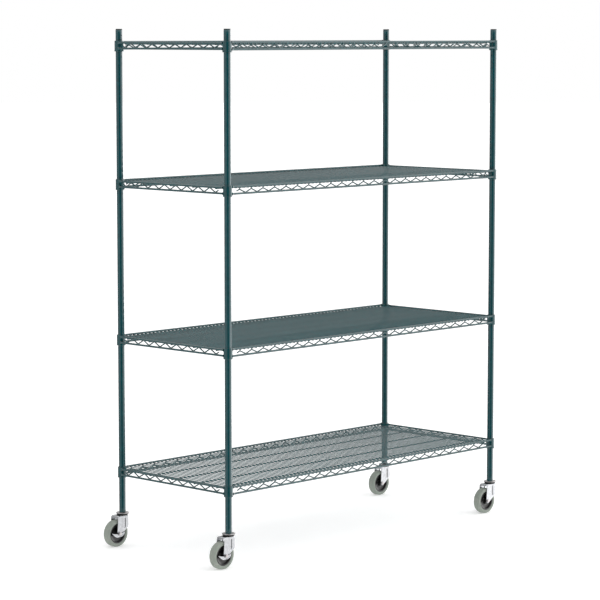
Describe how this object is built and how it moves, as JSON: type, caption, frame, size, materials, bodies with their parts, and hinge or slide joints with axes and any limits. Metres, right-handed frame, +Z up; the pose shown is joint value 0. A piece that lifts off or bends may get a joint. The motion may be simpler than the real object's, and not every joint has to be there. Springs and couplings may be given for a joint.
{
  "type": "wire shelf cart",
  "caption": "Tall open wire shelf cart: flat wire decks with zigzag edges wedged onto round ringed posts, on swivel casters, two with brakes.",
  "frame": {"origin": "on the floor, under the centre of the four posts", "axes": "+X along the long side (towards the casters without brakes), +Y towards the back, +Z up"},
  "size_m": [1.5976, 0.6353, 1.9558],
  "materials": {
    "shelf_epoxy": "glossy deep teal-green epoxy over steel wire",
    "post_epoxy": "glossy deep teal-green epoxy over steel tube",
    "post_cap": "dark satin",
    "sleeve": "black moulded",
    "zinc_stem": "bright zinc plate",
    "seal": "matte black",
    "zinc_fork": "bright plated pressing",
    "balls": "polished",
    "tyre": "grey, smooth",
    "core": "glossy black",
    "bushing": "sintered",
    "fastener": "zinc plate",
    "lever": "bright plated pressing"
  },
  "bodies": {
    "cart": {"shelf_1_rails": "shelf_epoxy", "shelf_1_truss": "shelf_epoxy", "shelf_1_deck": "shelf_epoxy", "shelf_1_ribs": "shelf_epoxy", "shelf_1_collars": "shelf_epoxy", "shelf_2_rails": "shelf_epoxy", "shelf_2_truss": "shelf_epoxy", "shelf_2_deck": "shelf_epoxy", "shelf_2_ribs": "shelf_epoxy", "shelf_2_collars": "shelf_epoxy", "shelf_3_rails": "shelf_epoxy", "shelf_3_truss": "shelf_epoxy", "shelf_3_deck": "shelf_epoxy", "shelf_3_ribs": "shelf_epoxy", "shelf_3_collars": "shelf_epoxy", "shelf_4_rails": "shelf_epoxy", "shelf_4_truss": "shelf_epoxy", "shelf_4_deck": "shelf_epoxy", "shelf_4_ribs": "shelf_epoxy", "shelf_4_collars": "shelf_epoxy", "post_front_left": "post_epoxy", "post_front_right": "post_epoxy", "post_back_left": "post_epoxy", "post_back_right": "post_epoxy", "post_caps": "post_cap", "split_sleeves": "sleeve", "caster_stems": "zinc_stem", "race_seals": "seal"},
    "swivel_front_left": {"fork_front_left": "zinc_fork", "race_balls_front_left": "balls", "bushing_front_left": "bushing", "axle_bolt_front_left": "fastener", "axle_nut_front_left": "fastener"},
    "wheel_front_left": {"tyre_front_left": "tyre", "core_front_left": "core"},
    "swivel_front_right": {"fork_front_right": "zinc_fork", "race_balls_front_right": "balls", "bushing_front_right": "bushing", "axle_bolt_front_right": "fastener", "axle_nut_front_right": "fastener"},
    "wheel_front_right": {"tyre_front_right": "tyre", "core_front_right": "core"},
    "swivel_back_left": {"fork_back_left": "zinc_fork", "race_balls_back_left": "balls", "bushing_back_left": "bushing", "axle_bolt_back_left": "fastener", "axle_nut_back_left": "fastener"},
    "wheel_back_left": {"tyre_back_left": "tyre", "core_back_left": "core"},
    "swivel_back_right": {"fork_back_right": "zinc_fork", "race_balls_back_right": "balls", "bushing_back_right": "bushing", "axle_bolt_back_right": "fastener", "axle_nut_back_right": "fastener"},
    "wheel_back_right": {"tyre_back_right": "tyre", "core_back_right": "core"},
    "brake_front_left": {"brake_lever_front_left": "lever"},
    "brake_back_left": {"brake_lever_back_left": "lever"}
  },
  "joints": [
    {"name": "swivel_front_left", "type": "hinge", "parent": "cart", "child": "swivel_front_left", "pos_m": [-0.743, -0.289, 0.12], "axis": [0, 0, 1], "continuous": true},
    {"name": "swivel_front_right", "type": "hinge", "parent": "cart", "child": "swivel_front_right", "pos_m": [0.743, -0.289, 0.12], "axis": [0, 0, 1], "continuous": true},
    {"name": "swivel_back_left", "type": "hinge", "parent": "cart", "child": "swivel_back_left", "pos_m": [-0.743, 0.289, 0.12], "axis": [0, 0, 1], "continuous": true},
    {"name": "swivel_back_right", "type": "hinge", "parent": "cart", "child": "swivel_back_right", "pos_m": [0.743, 0.289, 0.12], "axis": [0, 0, 1], "continuous": true},
    {"name": "wheel_spin_front_left", "type": "hinge", "parent": "swivel_front_left", "child": "wheel_front_left", "pos_m": [-0.779, -0.289, 0.0508], "axis": [0, 1, 0], "continuous": true},
    {"name": "wheel_spin_front_right", "type": "hinge", "parent": "swivel_front_right", "child": "wheel_front_right", "pos_m": [0.707, -0.289, 0.0508], "axis": [0, 1, 0], "continuous": true},
    {"name": "wheel_spin_back_left", "type": "hinge", "parent": "swivel_back_left", "child": "wheel_back_left", "pos_m": [-0.779, 0.289, 0.0508], "axis": [0, 1, 0], "continuous": true},
    {"name": "wheel_spin_back_right", "type": "hinge", "parent": "swivel_back_right", "child": "wheel_back_right", "pos_m": [0.707, 0.289, 0.0508], "axis": [0, 1, 0], "continuous": true},
    {"name": "brake_front_left", "type": "hinge", "parent": "swivel_front_left", "child": "brake_front_left", "pos_m": [-0.779, -0.3115, 0.0508], "axis": [0, -1, 0], "range_deg": [0, 30]},
    {"name": "brake_back_left", "type": "hinge", "parent": "swivel_back_left", "child": "brake_back_left", "pos_m": [-0.779, 0.2665, 0.0508], "axis": [0, -1, 0], "range_deg": [0, 30]}
  ]
}
